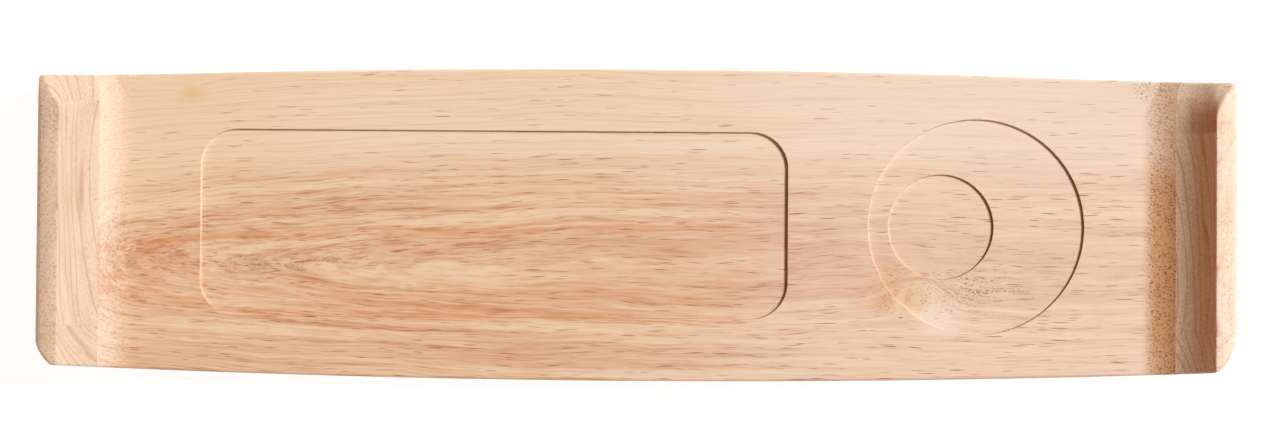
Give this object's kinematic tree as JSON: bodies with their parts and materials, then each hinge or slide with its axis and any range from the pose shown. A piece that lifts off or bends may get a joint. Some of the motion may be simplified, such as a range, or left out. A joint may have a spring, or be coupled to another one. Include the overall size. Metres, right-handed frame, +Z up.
{
  "type": "serving board",
  "caption": "Long bowed wooden serving board with raised coved ends and shallow recesses for a dish, a bowl and a cup.",
  "frame": {"origin": "the underside, at the middle of the board's length and width", "axes": "+X along the board towards the round recesses, +Y to the back edge, +Z up out of the tray floor"},
  "size_m": [0.476, 0.1246, 0.0325],
  "materials": {
    "plank_wood": "fine-sanded bare rubberwood, matte, grain along X",
    "end_wood": "fine-sanded bare rubberwood, matte, end grain on the slopes"
  },
  "bodies": {
    "root": {"base_plank": "plank_wood", "left_end_front_stave": "end_wood", "left_end_middle_stave": "end_wood", "left_end_back_stave": "end_wood", "right_end_front_stave": "end_wood", "right_end_middle_stave": "end_wood", "right_end_back_stave": "end_wood"}
  },
  "joints": []
}
